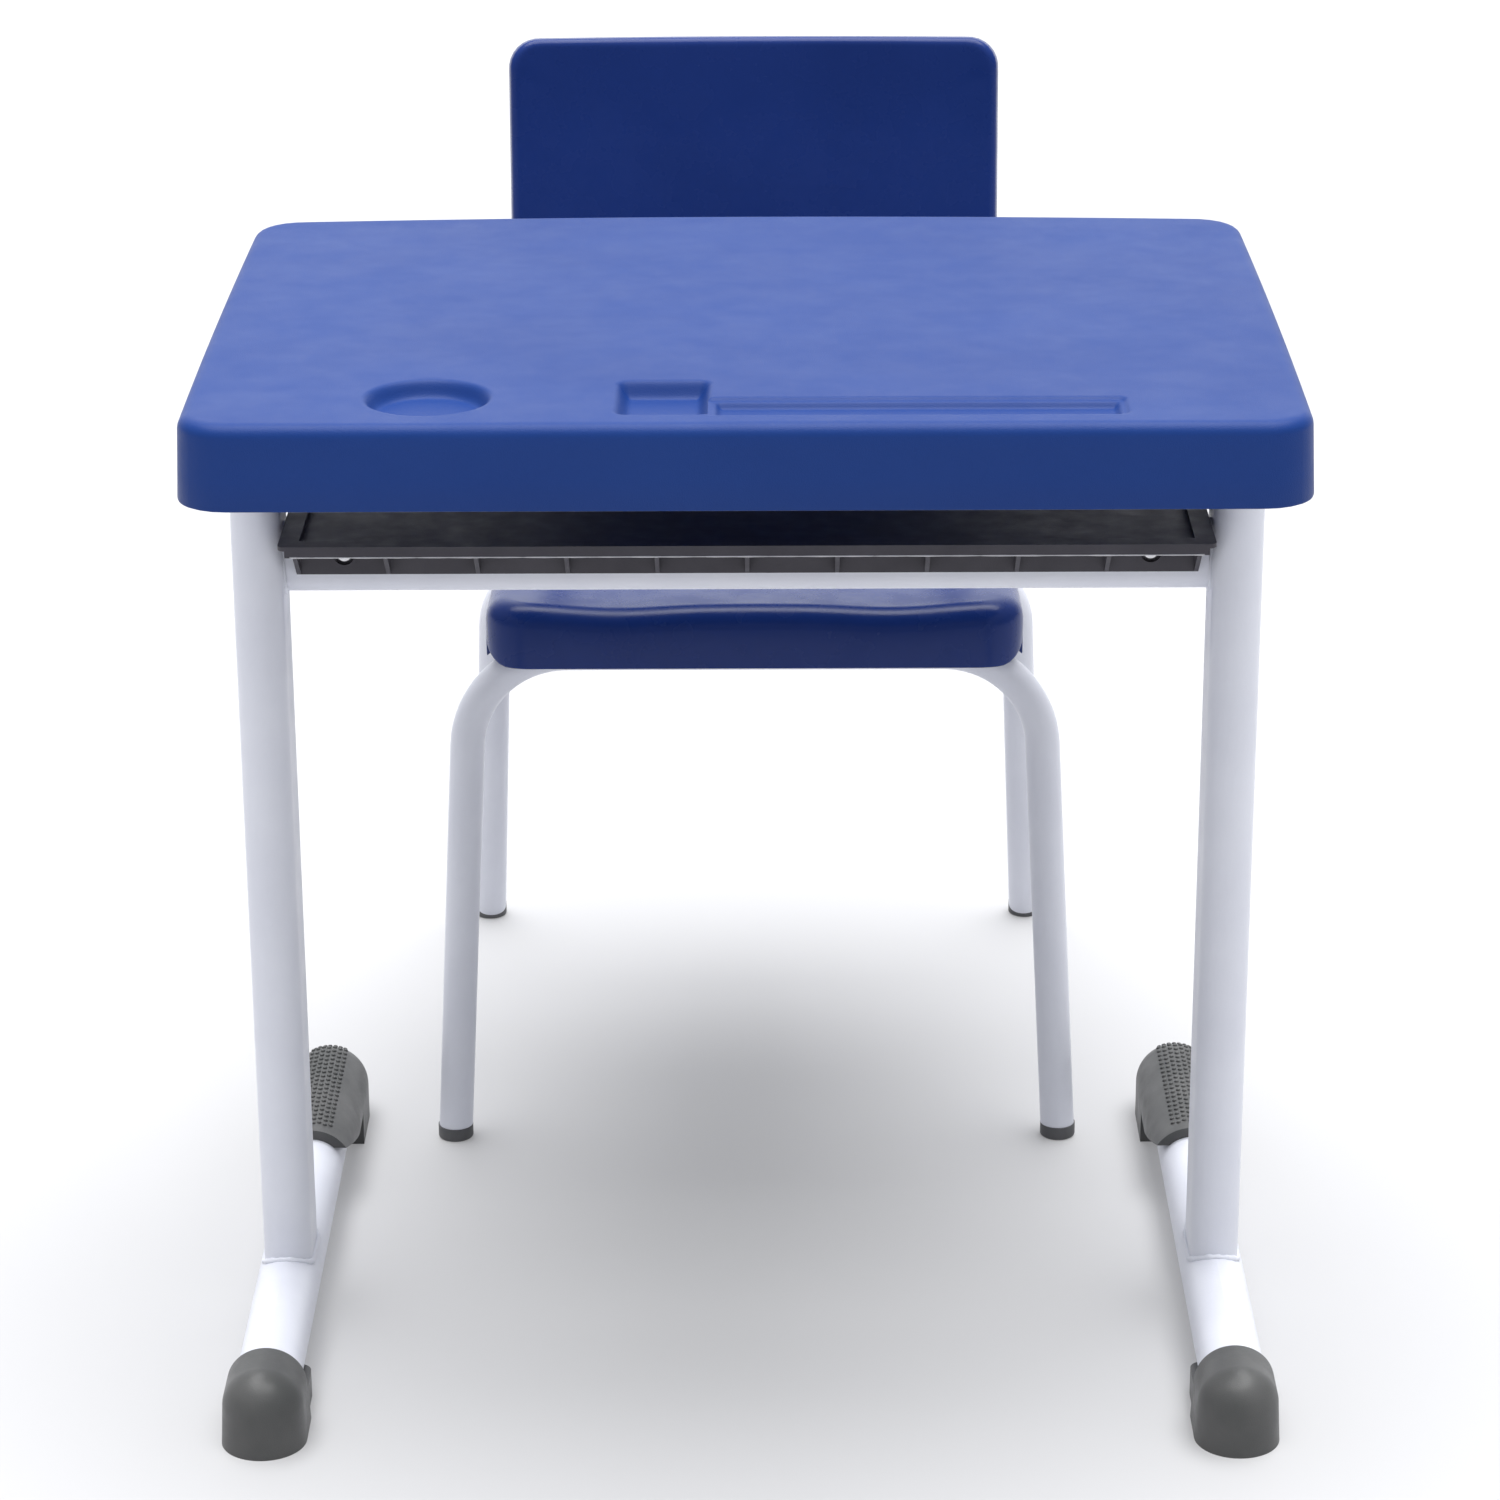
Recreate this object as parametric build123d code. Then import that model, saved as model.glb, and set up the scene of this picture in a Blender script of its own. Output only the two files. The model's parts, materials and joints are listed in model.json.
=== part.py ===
"""Student desk and chair set: a moulded desk top on a two-post steel frame, and a stacking shell chair.

Frame: millimetres, +Z up, origin on the floor at the centre of the whole set's bounding box.
The desk stands towards -Y and the sitter faces -Y from the chair, which stands towards +Y.
"""
from build123d import *
import os
from math import cos, radians, sin, tan

os.makedirs("parts", exist_ok=True)

# ---- driving dimensions -------------------------------------------------
TOP_WIDTH = 604.0          # across the desk top
TOP_DEPTH = 445.0          # front edge to the back corners
TOP_BACK_BULGE = 12.0      # the sitter's edge is gently convex
TOP_HEIGHT = 620.0         # writing surface above the floor
TOP_SKIRT = 47.0           # height of the moulded edge
TOP_WALL = 3.5
TOP_CORNER_R = 28.0
TOP_EDGE_R = 7.0
SKIRT_DRAFT = 2.5          # degrees, wider at the bottom

TUBE_WALL = 1.5
POST_X = 282.0             # post and foot tube centre line
POST_WIDE = 29.0           # oblong post, seen from the front
POST_DEEP = 58.0           # oblong post, seen from the side
RAIL_X = 280.0
RAIL_D = 31.75             # C-shaped tube under the top
FOOT_D = 38.1              # floor tube
FOOT_Z = 23.5              # its centre above the floor
BAR_DEEP = 20.0            # oblong crossbar
BAR_TALL = 40.0
BAR_Z = 482.0

CHAIR_X = 3.0              # the chair stands a little to one side
CHAIR_TUBE_D = 22.2
CHAIR_TUBE_WALL = 1.9
FRONT_FOOT = (199.5, 435.0)    # half width, and distance behind the desk's front edge
REAR_FOOT = (197.6, 815.0)
CAP_R = 11.5
CAP_TALL = 9.0
SEAT_WIDTH = 344.0
SEAT_DEPTH = 314.0
SEAT_FRONT = 425.0         # front lip, behind the desk's front edge
SEAT_HEIGHT = 374.0        # top of the front lip
SEAT_SLOPE = 5.0           # degrees down to the back
SEAT_LIP = 41.0            # front lip, top to bottom
SEAT_SKIRT = 24.0          # sides and back
SEAT_WALL = 4.0
NOTCH_DEEP = 36.0          # slots in the rear edge for the two uprights
BACK_WIDTH = 333.0
BACK_TALL = 186.0
BACK_RECLINE = 7.0         # degrees
BACK_TOP_Z = 661.0
BACK_TOP_Y = 788.0         # middle of the front face at the top edge
BACK_HOLLOW = 14.0         # how far the middle lies behind the side edges

# The set is centred front to back: desk edge to the rear caps.
SET_DEPTH = REAR_FOOT[1] + CAP_R
DESK_FRONT_Y = -SET_DEPTH / 2


def behind(distance):
    """Y of a point that far behind the desk's front edge."""
    return DESK_FRONT_Y + distance


def save(name, shape):
    """Writes one sub-part, as one solid or as a group of separate solids."""
    shape.label = name
    export_step(shape, f"parts/{name}.step")


def group(shapes):
    return Compound(children=list(shapes))


def mirrored(shape):
    return mirror(shape, about=Plane.YZ)


def tube_along(points, bend_r, diameter, wall):
    """A round tube along straight runs with equal bends, hollow, cut square at both ends."""
    path = FilletPolyline(*points, radius=bend_r) if len(points) > 2 else Line(*points)
    section = Plane(origin=path @ 0, z_dir=path % 0)
    ring = section * (Circle(diameter / 2) - Circle(diameter / 2 - wall))
    return sweep(ring, path=path)


def rod_along(points, bend_r, diameter):
    """The same route as a solid rod, for coping other tubes against it."""
    path = FilletPolyline(*points, radius=bend_r) if len(points) > 2 else Line(*points)
    section = Plane(origin=path @ 0, z_dir=path % 0)
    return sweep(section * Circle(diameter / 2), path=path)


def cylinder_y(x, z, radius, y0, y1):
    """A solid cylinder along Y between two distances behind the desk's front edge."""
    return Plane(origin=(x, behind(y0), z), z_dir=(0, 1, 0)) * Cylinder(
        radius, y1 - y0, align=(Align.CENTER, Align.CENTER, Align.MIN))


def block(x0, x1, y0, y1, z0, z1):
    """A box between two corners, with Y as distances behind the desk's front edge."""
    return Pos((x0 + x1) / 2, behind((y0 + y1) / 2), (z0 + z1) / 2) * Box(x1 - x0, y1 - y0, z1 - z0)


# ---- desk top -----------------------------------------------------------
SCREW_YS = (97.0, 247.0, 360.0)
RAIL_TOP_GAP = 0.1
RAIL_Z = 589.5
BOSS_R = 8.0
PLATE_Z = TOP_HEIGHT - TOP_WALL - 0.5      # underside of the writing plate
CUP = (-171.0, 56.5, 33.0, 9.0)            # centre x, y behind the front edge, rim radius, depth
ERASER = (-44.2, 55.0, 49.0, 62.0, 9.0)    # centre x, y, width, depth front to back, sunk
GROOVE = (91.4, 37.5, 226.2, 33.0, 1.6)    # its left end runs into the eraser recess
GROOVE_BED = (92.4, 37.5, 216.2, 24.0, 5.0)


def top_outline(inset):
    """Plan of the skirt's lower edge: straight front, barely convex sides, convex back."""
    flare = TOP_SKIRT * tan(radians(SKIRT_DRAFT))
    half = TOP_WIDTH / 2 + flare - inset
    front = behind(0) + inset
    back = behind(TOP_DEPTH) + flare - inset
    side = 1.5
    edges = [
        Line((-half, front), (half, front)),
        ThreePointArc((half, front), (half + side, (front + back) / 2), (half, back)),
        ThreePointArc((half, back), (0, back + TOP_BACK_BULGE), (-half, back)),
        ThreePointArc((-half, back), (-half - side, (front + back) / 2), (-half, front)),
    ]
    face = make_face(edges)
    return fillet(face.vertices(), TOP_CORNER_R - inset)


def recesses():
    """What the cup recess, the eraser recess and the pen groove take out of the plate."""
    x, y, r, sunk = CUP
    cup = Cone(r, r - 3.5, sunk, align=(Align.CENTER, Align.CENTER, Align.MIN))
    cup = Pos(x, behind(y), TOP_HEIGHT) * Rot(180, 0, 0) * cup
    cup = fillet(cup.faces().sort_by(Axis.Z)[0].edges(), 2.5)
    eased = Cone(r + 1.2, r - 0.2, 1.2, align=(Align.CENTER, Align.CENTER, Align.MIN))
    tools = Part() + cup + Pos(x, behind(y), TOP_HEIGHT) * Rot(180, 0, 0) * eased
    x, y, wide, deep, sunk = ERASER
    eased = (x, y, wide + 2.0, deep + 2.0, 0.9)
    steps = ((eased, 55, 7), (ERASER, 29, 6), (GROOVE, 45, 5), (GROOVE_BED, 40, 3))
    for (x, y, wide, deep, sunk), draft, corner in steps:
        mouth = Pos(x, behind(y), TOP_HEIGHT) * Rot(180, 0, 0) * RectangleRounded(wide, deep, corner)
        tools += extrude(mouth, sunk, taper=draft)
    return tools


def desk_top():
    base_z = TOP_HEIGHT - TOP_SKIRT
    body = extrude(Pos(0, 0, base_z) * top_outline(0), TOP_SKIRT, taper=SKIRT_DRAFT)
    body = fillet(body.faces().sort_by(Axis.Z)[-1].edges(), TOP_EDGE_R)
    body = fillet(body.faces().sort_by(Axis.Z)[0].edges(), 1.2)
    low = base_z - 1
    body -= extrude(Pos(0, 0, low) * top_outline(TOP_WALL), PLATE_Z - low, taper=SKIRT_DRAFT)
    # stiffening ribs under the plate, on a 50 mm grid
    rib_z, rib_t = PLATE_Z - 9.0, 2.0
    bounds = extrude(Pos(0, 0, rib_z) * top_outline(TOP_WALL + 1.2), PLATE_Z + 1 - rib_z)
    along = [block(x - rib_t / 2, x + rib_t / 2, -5, TOP_DEPTH + 30, rib_z, PLATE_Z + 1)
             for x in range(-250, 251, 50)]
    across = [block(-310, 310, y - rib_t / 2, y + rib_t / 2, rib_z, PLATE_Z + 1)
              for y in range(25, 450, 50)]
    body += bounds & (Part() + along + across)
    # screw bosses over the rail, and the undersides of the three recesses
    low = RAIL_Z + RAIL_D / 2 + RAIL_TOP_GAP
    boss = Cylinder(BOSS_R, PLATE_Z + 1 - low, align=(Align.CENTER, Align.CENTER, Align.MIN))
    body += Part() + [Pos(x, y, low) * boss for x, y in screw_places()]
    wall = 2.5
    x, y, r, sunk = CUP
    body += Pos(x, behind(y), TOP_HEIGHT - 1) * Cylinder(
        r + wall, sunk + wall - 1, align=(Align.CENTER, Align.CENTER, Align.MAX))
    for x, y, wide, deep, sunk in (ERASER, GROOVE_BED):
        body += block(x - wide / 2 - wall, x + wide / 2 + wall, y - deep / 2 - wall, y + deep / 2 + wall,
                      TOP_HEIGHT - sunk - wall, TOP_HEIGHT - 1)
    body -= recesses()
    # blind holes for the threaded inserts
    hole = Cylinder(4.5, 9.6, align=(Align.CENTER, Align.CENTER, Align.MIN))
    body -= Part() + [Pos(x, y, RAIL_Z + RAIL_D / 2) * hole for x, y in screw_places()]
    return body


def screw_places():
    return [(x, behind(y)) for x in (-RAIL_X, RAIL_X) for y in SCREW_YS]


def top_screws():
    """M6 pan-head screws, from under the rail up into the inserts."""
    under = RAIL_Z - RAIL_D / 2
    made = []
    for x, y in screw_places():
        head = Cylinder(6.0, 3.6, align=(Align.CENTER, Align.CENTER, Align.MAX))
        head = fillet(head.faces().sort_by(Axis.Z)[0].edges(), 1.6)
        shank = Cylinder(3.0, 40.0, align=(Align.CENTER, Align.CENTER, Align.MIN))
        cross = Pos(0, 0, -3.6) * (Box(5.4, 1.2, 3.6) + Box(1.2, 5.4, 3.6))
        made.append(Pos(x, y, under - 0.15) * (head + shank - cross))
    return group(made)


def threaded_inserts():
    made = []
    for x, y in screw_places():
        sleeve = Cylinder(4.45, 9.2, align=(Align.CENTER, Align.CENTER, Align.MIN))
        sleeve -= Cylinder(3.06, 9.2, align=(Align.CENTER, Align.CENTER, Align.MIN))
        made.append(Pos(x, y, RAIL_Z + RAIL_D / 2 + 0.2) * sleeve)
    return group(made)


# ---- desk frame ---------------------------------------------------------
RAIL_FRONT, RAIL_BACK, RAIL_BEND = 40.0, 415.0, 50.0
POST_Y = 201.0
FOOT_FRONT, FOOT_BACK = 19.0, 478.0


def rail_points():
    return [(-RAIL_X, behind(RAIL_BACK), RAIL_Z), (-RAIL_X, behind(RAIL_FRONT), RAIL_Z),
            (RAIL_X, behind(RAIL_FRONT), RAIL_Z), (RAIL_X, behind(RAIL_BACK), RAIL_Z)]


def top_rail():
    """The C-shaped tube that the top is screwed to, open towards the sitter."""
    rail = tube_along(rail_points(), RAIL_BEND, RAIL_D, TUBE_WALL)
    for x, y in screw_places():
        rail -= Pos(x, y, RAIL_Z) * Cylinder(3.3, RAIL_D + 4)
    return rail


def rail_cap(x):
    """Plug in the open end of the rail."""
    inside = cylinder_y(x, RAIL_Z, RAIL_D / 2 - TUBE_WALL - 0.1, RAIL_BACK - 12, RAIL_BACK + 1)
    flange = cylinder_y(x, RAIL_Z, RAIL_D / 2, RAIL_BACK, RAIL_BACK + 3)
    cap = inside + flange
    return fillet(cap.faces().sort_by(Axis.Y)[-1].edges(), 1.5)


def post(x):
    """Oblong upright, coped over the floor tube and under the rail."""
    z0, z1 = FOOT_Z, RAIL_Z - 3.5
    outer = Rot(0, 0, 90) * SlotOverall(POST_DEEP, POST_WIDE)
    inner = Rot(0, 0, 90) * SlotOverall(POST_DEEP - 2 * TUBE_WALL, POST_WIDE - 2 * TUBE_WALL)
    upright = extrude(Pos(x, behind(POST_Y), z0) * (outer - inner), z1 - z0)
    upright -= cylinder_y(x, FOOT_Z, FOOT_D / 2, FOOT_FRONT, FOOT_BACK)
    rail_x = RAIL_X if x > 0 else -RAIL_X
    upright -= cylinder_y(rail_x, RAIL_Z, RAIL_D / 2, RAIL_FRONT, RAIL_BACK)
    return upright.solids().sort_by(SortBy.VOLUME)[-1]


def crossbar():
    """Oblong tube between the posts' flat sides."""
    half = POST_X - POST_WIDE / 2
    plane = Plane(origin=(-half, behind(POST_Y), BAR_Z), x_dir=(0, 0, 1), z_dir=(1, 0, 0))
    section = SlotOverall(BAR_TALL, BAR_DEEP)
    section -= SlotOverall(BAR_TALL - 2 * TUBE_WALL, BAR_DEEP - 2 * TUBE_WALL)
    bar = extrude(plane * section, 2 * half)
    for x in (-TRAY_RIVET_X, TRAY_RIVET_X):
        bar -= rivet_hole(x, POST_Y - BAR_DEEP / 2 + 1, TRAY_RIVET_Z, 4.0)
    return bar


def foot_tube(x):
    tube = cylinder_y(x, FOOT_Z, FOOT_D / 2, FOOT_FRONT, FOOT_BACK)
    tube -= cylinder_y(x, FOOT_Z, FOOT_D / 2 - TUBE_WALL, FOOT_FRONT, FOOT_BACK)
    for y in COVER_RIVET_YS:
        tube -= Pos(x, behind(y), 0) * Cylinder(RIVET_R + 0.05, 3 * COVER_WALL)
    return tube


# ---- foot covers --------------------------------------------------------
COVER_WALL = FOOT_Z - FOOT_D / 2       # also how far the tube stands off the floor
FRONT_COVER_R = FOOT_Z
FRONT_COVER_DRAFT = 3.0
COVER_TIP = 4.0
FRONT_COVER_TOP_END = 52.0
FRONT_COVER_BASE_END = 88.0
REAR_COVER_R = 25.5
REAR_COVER_START, REAR_COVER_FOOT_START, REAR_COVER_TIP = 340.0, 422.0, 490.0
REAR_COVER_OPEN_Z = 37.0               # its sides start this high and slope down
REAR_COVER_LOW_Z = 12.0                # to this height, where the foot starts
COVER_CLEAR = 0.1
COVER_RIVET_YS = (66.0, 440.0)
RIVET_R = 2.4
BULB_SAG = 0.7             # the bulb clears the round inside of a tube by this


def bullet(x, r, y_round, y_flat, height):
    """A plan with one half-round end, extruded up from the floor."""
    low, high = sorted((y_round, y_flat))
    disc = Pos(x, behind(y_round), 0) * Cylinder(r, height, align=(Align.CENTER, Align.CENTER, Align.MIN))
    return disc + block(x - r, x + r, low, high, 0, height)


def front_cover(x):
    """Dome-nosed cap over the front of the floor tube, with a longer sole."""
    r, nose = FRONT_COVER_R, COVER_TIP + FRONT_COVER_R
    cover = Pos(x, behind(nose), FOOT_Z) * Sphere(r)
    cover += cylinder_y(x, FOOT_Z, r, nose, FRONT_COVER_TOP_END)
    flare = FOOT_Z * tan(radians(FRONT_COVER_DRAFT))
    plan = Pos(x, behind(nose)) * Circle(r + flare)
    middle = (nose + FRONT_COVER_TOP_END) / 2
    plan += Pos(x, behind(middle)) * Rectangle(2 * (r + flare), FRONT_COVER_TOP_END - nose)
    plan += Pos(x, behind(FRONT_COVER_TOP_END)) * Rectangle(2 * (r + flare), 2 * flare)
    cover += extrude(plan, FOOT_Z, taper=FRONT_COVER_DRAFT)
    sole = block(x - r + 0.8, x + r - 0.8, nose, FRONT_COVER_BASE_END, 0, 17.0)
    sole = fillet(sole.edges().filter_by(Axis.Z).group_by(Axis.Y)[-1], 8.0)
    cover += sole
    cover -= cylinder_y(x, FOOT_Z, FOOT_D / 2 + COVER_CLEAR, FOOT_FRONT - 0.5, 200)
    cover -= Pos(x, behind(COVER_RIVET_YS[0]), 0) * Cylinder(RIVET_R + 0.05, 3 * COVER_WALL)
    cover -= Pos(x, behind(COVER_RIVET_YS[0]), 0) * Cylinder(5.2, 4.0)
    return cover


def rear_cover(x):
    """Long grip over the back of the floor tube; only its rear part reaches the floor."""
    r, tail = REAR_COVER_R, REAR_COVER_TIP - REAR_COVER_R
    cover = cylinder_y(x, FOOT_Z, r, REAR_COVER_START, tail)
    cover += Pos(x, behind(tail), FOOT_Z) * Sphere(r)
    near, far = REAR_COVER_START - 1, REAR_COVER_FOOT_START
    end = REAR_COVER_TIP + 1
    low = REAR_COVER_LOW_Z
    slope = [(behind(near), REAR_COVER_OPEN_Z), (behind(far), low), (behind(end), low)]
    under = Polyline((behind(near), -5), *slope, (behind(end), -5), close=True)
    cover -= extrude(Plane(origin=(x - 40, 0, 0), x_dir=(0, 1, 0), z_dir=(1, 0, 0)) * make_face(under), 80)
    foot = bullet(x, r, tail, REAR_COVER_FOOT_START, FOOT_Z)
    foot &= block(x - r, x + r, far, REAR_COVER_TIP + 1, 0, FOOT_Z)
    cover += foot
    cover -= cylinder_y(x, FOOT_Z, FOOT_D / 2 + COVER_CLEAR, 200, FOOT_BACK + 0.5)
    cover -= Pos(x, behind(COVER_RIVET_YS[1]), 0) * Cylinder(RIVET_R + 0.05, 3 * COVER_WALL)
    cover -= Pos(x, behind(COVER_RIVET_YS[1]), 0) * Cylinder(5.2, 4.0)
    return cover


def pop_rivet(length):
    """Blind rivet along +Z: domed head below z=0, hollow shank above it, and a bulb at its far end."""
    head = Cylinder(4.75, 1.5, align=(Align.CENTER, Align.CENTER, Align.MAX))
    head = fillet(head.faces().sort_by(Axis.Z)[0].edges(), 1.0)
    shank = Cylinder(RIVET_R, length, align=(Align.CENTER, Align.CENTER, Align.MIN))
    bulb = Pos(0, 0, length) * Cylinder(3.3, 2.5, align=(Align.CENTER, Align.CENTER, Align.MIN))
    mandrel = Pos(0, 0, -2) * Cylinder(1.3, 4.5, align=(Align.CENTER, Align.CENTER, Align.MIN))
    return head + shank + bulb - mandrel


def cover_rivets():
    """One rivet up through the sole of each foot cover into the floor tube."""
    grip = COVER_WALL - 2.0 + TUBE_WALL
    made = [Pos(x, behind(y), 1.95) * pop_rivet(grip + BULB_SAG)
            for x in (-POST_X, POST_X) for y in COVER_RIVET_YS]
    return group(made)


# ---- book tray ----------------------------------------------------------
TRAY_HALF = 265.0
TRAY_FRONT, TRAY_BACK = 138.0, 420.0
TRAY_RIM_Z = 508.5
TRAY_T = 2.5
TRAY_RIM = 9.0             # width of the flat rim
SHELF_Z = BAR_Z + BAR_TALL / 2          # the tray's front shelf lies on the crossbar
POCKET_Y = 218.0
POCKET_Z = 480.0
STRIP_LOW = 475.5
TRAY_RIVET_X, TRAY_RIVET_Z = 232.0, 488.0
WEB_PITCH = 51.7           # gussets of the strip in front of the crossbar


def rivet_hole(x, y, z, radius):
    """A hole along Y through whatever lies within 6 mm of y."""
    return cylinder_y(x, z, radius, y - 6, y + 6)


def book_tray():
    """Moulded tray: a rimmed shelf over the crossbar, a deeper pocket behind it, a ribbed strip in front."""
    out, t = TRAY_HALF, TRAY_T
    wall = out - TRAY_RIM               # outside of the side walls
    front, back = TRAY_FRONT + TRAY_RIM, TRAY_BACK - TRAY_RIM
    tray = block(-out, out, TRAY_FRONT, TRAY_BACK, TRAY_RIM_Z - t, TRAY_RIM_Z)
    tray = fillet(tray.edges().filter_by(Axis.Z), 4.0)
    tray += block(-out + 4, out - 4, TRAY_FRONT, TRAY_FRONT + t, SHELF_Z, TRAY_RIM_Z - 1)
    tray += block(-wall, wall, front, POCKET_Y + t, SHELF_Z, TRAY_RIM_Z - 1)
    tray += block(-wall, wall, POCKET_Y, back, POCKET_Z, TRAY_RIM_Z - 1)
    floor_z = SHELF_Z + t
    tray -= block(-wall + t, wall - t, front + t, back - t, floor_z, TRAY_RIM_Z + 1)
    tray -= block(-wall + t, wall - t, POCKET_Y + t, back - t, POCKET_Z + t, TRAY_RIM_Z + 1)
    # strip in front of the crossbar, gussets up to the lip, and two rivet bosses
    face = POST_Y - BAR_DEEP / 2
    end = 5 * WEB_PITCH + 1.25
    tray += block(-end, end, face - t, face, STRIP_LOW, SHELF_Z + 1)
    reach = 32.0
    for k in range(-5, 6):
        web = Polyline((behind(face - t + 1), STRIP_LOW), (behind(face - t + 1), SHELF_Z + 1),
                       (behind(face - t - reach), SHELF_Z + 1), (behind(face - t - reach), SHELF_Z),
                       (behind(face - t), STRIP_LOW), close=True)
        side = Plane(origin=(k * WEB_PITCH - 1.25, 0, 0), x_dir=(0, 1, 0), z_dir=(1, 0, 0))
        tray += extrude(side * make_face(web), 2.5)
    for x in (-TRAY_RIVET_X, TRAY_RIVET_X):
        tray += cylinder_y(x, TRAY_RIVET_Z, 8.0, face - t - 2, face)
        tray -= cylinder_y(x, TRAY_RIVET_Z, 6.2, face - t - 3, face - t + 0.4)
        tray -= rivet_hole(x, face, TRAY_RIVET_Z, RIVET_R + 0.05)
    for x in (-HANGER_X, HANGER_X):
        tray -= Pos(x, behind(HANGER_Y), TRAY_RIM_Z) * Cylinder(RIVET_R + 0.05, 12)
    return tray


def tray_rivets():
    """Blind rivets through the tray's strip into the crossbar."""
    face = POST_Y - BAR_DEEP / 2 - TRAY_T + 0.4
    place = Plane(origin=(0, behind(face - 0.05), TRAY_RIVET_Z), z_dir=(0, 1, 0))
    rivet = place * pop_rivet(TRAY_T + TUBE_WALL)
    made = [Pos(x, 0, 0) * rivet for x in (-TRAY_RIVET_X, TRAY_RIVET_X)]
    return group(made)


# ---- hangers that hold the tray's sitter side ---------------------------
HANGER_X = 259.5
HANGER_Y = 385.0
HANGER_WIDE = 20.0
HANGER_T = 3.0


def hanger(side):
    """Bent flat steel: a foot under the tray's rim and an upright beside it, coped to the rail."""
    low = TRAY_RIM_Z - TRAY_T - HANGER_T
    x_in, x_out = side * 256.0, side * (TRAY_HALF + 1.0 + HANGER_T)
    y0, y1 = HANGER_Y - HANGER_WIDE / 2, HANGER_Y + HANGER_WIDE / 2
    strap = block(min(x_in, x_out), max(x_in, x_out), y0, y1, low, low + HANGER_T)
    x_up = side * (TRAY_HALF + 1.0)
    strap += block(min(x_up, x_out), max(x_up, x_out), y0, y1, low, RAIL_Z)
    strap -= cylinder_y(side * RAIL_X, RAIL_Z, RAIL_D / 2, RAIL_FRONT, RAIL_BACK)
    strap -= Pos(side * HANGER_X, behind(HANGER_Y), low) * Cylinder(RIVET_R + 0.05, 12)
    return strap.solids().sort_by(SortBy.VOLUME)[-1]


def hanger_rivets():
    made = [Pos(x, behind(HANGER_Y), TRAY_RIM_Z + 0.05) * Rot(180, 0, 0) * pop_rivet(TRAY_T + HANGER_T + 0.1)
            for x in (-HANGER_X, HANGER_X)]
    return group(made)


# ---- chair frame --------------------------------------------------------
CHAIR_BEND = 65.0
UPRIGHT_BEND = 50.0
FRONT_CORNER = (182.0, 445.0)
REAR_CORNER = (181.5, 722.0)
RAIL_HALF = 130.0                       # side rails, half the distance between them
SLOPE = tan(radians(SEAT_SLOPE))


def seat_z(y):
    """Height of the flat seat surface that far behind the desk's front edge."""
    return SEAT_HEIGHT - (y - SEAT_FRONT) * SLOPE


def rail_axis_z(y):
    return seat_z(y) - (SEAT_WALL + CHAIR_TUBE_D / 2) / cos(radians(SEAT_SLOPE))


def leg_axis_z(corner_y):
    """The leg frames lie against the undersides of the side rails, 1 mm let in."""
    return rail_axis_z(corner_y) - CHAIR_TUBE_D + 1.0


def leg_points(foot, corner):
    z = leg_axis_z(corner[1])
    low = CAP_TALL * 0.4
    left = [(-foot[0] + CHAIR_X, behind(foot[1]), low), (-corner[0] + CHAIR_X, behind(corner[1]), z)]
    right = [(corner[0] + CHAIR_X, behind(corner[1]), z), (foot[0] + CHAIR_X, behind(foot[1]), low)]
    return left + right


def leg_frame(foot, corner):
    """One inverted-U of bent tube: two splayed legs and the bar under the seat."""
    return tube_along(leg_points(foot, corner), CHAIR_BEND, CHAIR_TUBE_D, CHAIR_TUBE_WALL)


def side_rail_points(x):
    """Front end under the seat, back along it, then up behind the backrest."""
    y0, bend_y = 438.0, 778.0
    z_bend = rail_axis_z(bend_y)
    top_z = BACK_TOP_Z - 24.0
    lean = tan(radians(BACK_RECLINE))
    bend_y = upright_y(z_bend)
    z_bend = rail_axis_z(bend_y)
    return [(x, behind(y0), rail_axis_z(y0)), (x, behind(bend_y), z_bend),
            (x, behind(bend_y + (top_z - z_bend) * lean), top_z)]


def upright_y(z):
    """Axis of the backrest uprights: the front face's middle, less the hollow there, plus wall and radius."""
    lean = tan(radians(BACK_RECLINE))
    front = BACK_TOP_Y - (BACK_TOP_Z - z) * lean
    return front - rise_at(RAIL_HALF) + BACK_WALL + (CHAIR_TUBE_D / 2 + 1.0) / cos(radians(BACK_RECLINE))


def side_rail(side):
    x = side * RAIL_HALF + CHAIR_X
    rail = tube_along(side_rail_points(x), UPRIGHT_BEND, CHAIR_TUBE_D, CHAIR_TUBE_WALL)
    for foot, corner in ((FRONT_FOOT, FRONT_CORNER), (REAR_FOOT, REAR_CORNER)):
        rail -= rod_along(leg_points(foot, corner), CHAIR_BEND, CHAIR_TUBE_D)
    for place in seat_rivet_places():
        rail -= place * Cylinder(RIVET_R + 0.05, 40)
    for place in back_rivet_places():
        rail -= place * Cylinder(RIVET_R + 0.05, 40)
    return rail.solids().sort_by(SortBy.VOLUME)[-1]


def tube_plugs():
    """Round plastic plugs in the open ends of the two chair rails, under the seat and behind the backrest."""
    made = []
    bore = CHAIR_TUBE_D / 2 - CHAIR_TUBE_WALL
    inside = Cylinder(bore - 0.1, 10, align=(Align.CENTER, Align.CENTER, Align.MAX))
    button = Cylinder(CHAIR_TUBE_D / 2, 3, align=(Align.CENTER, Align.CENTER, Align.MIN))
    plug = inside + fillet(button.faces().sort_by(Axis.Z)[-1].edges(), 1.8)
    for side in (-1, 1):
        path = FilletPolyline(*side_rail_points(side * RAIL_HALF + CHAIR_X), radius=UPRIGHT_BEND)
        made.append(Plane(origin=path @ 0, z_dir=(path % 0) * -1) * plug)
        made.append(Plane(origin=path @ 1, z_dir=path % 1) * plug)
    return group(made)


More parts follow.
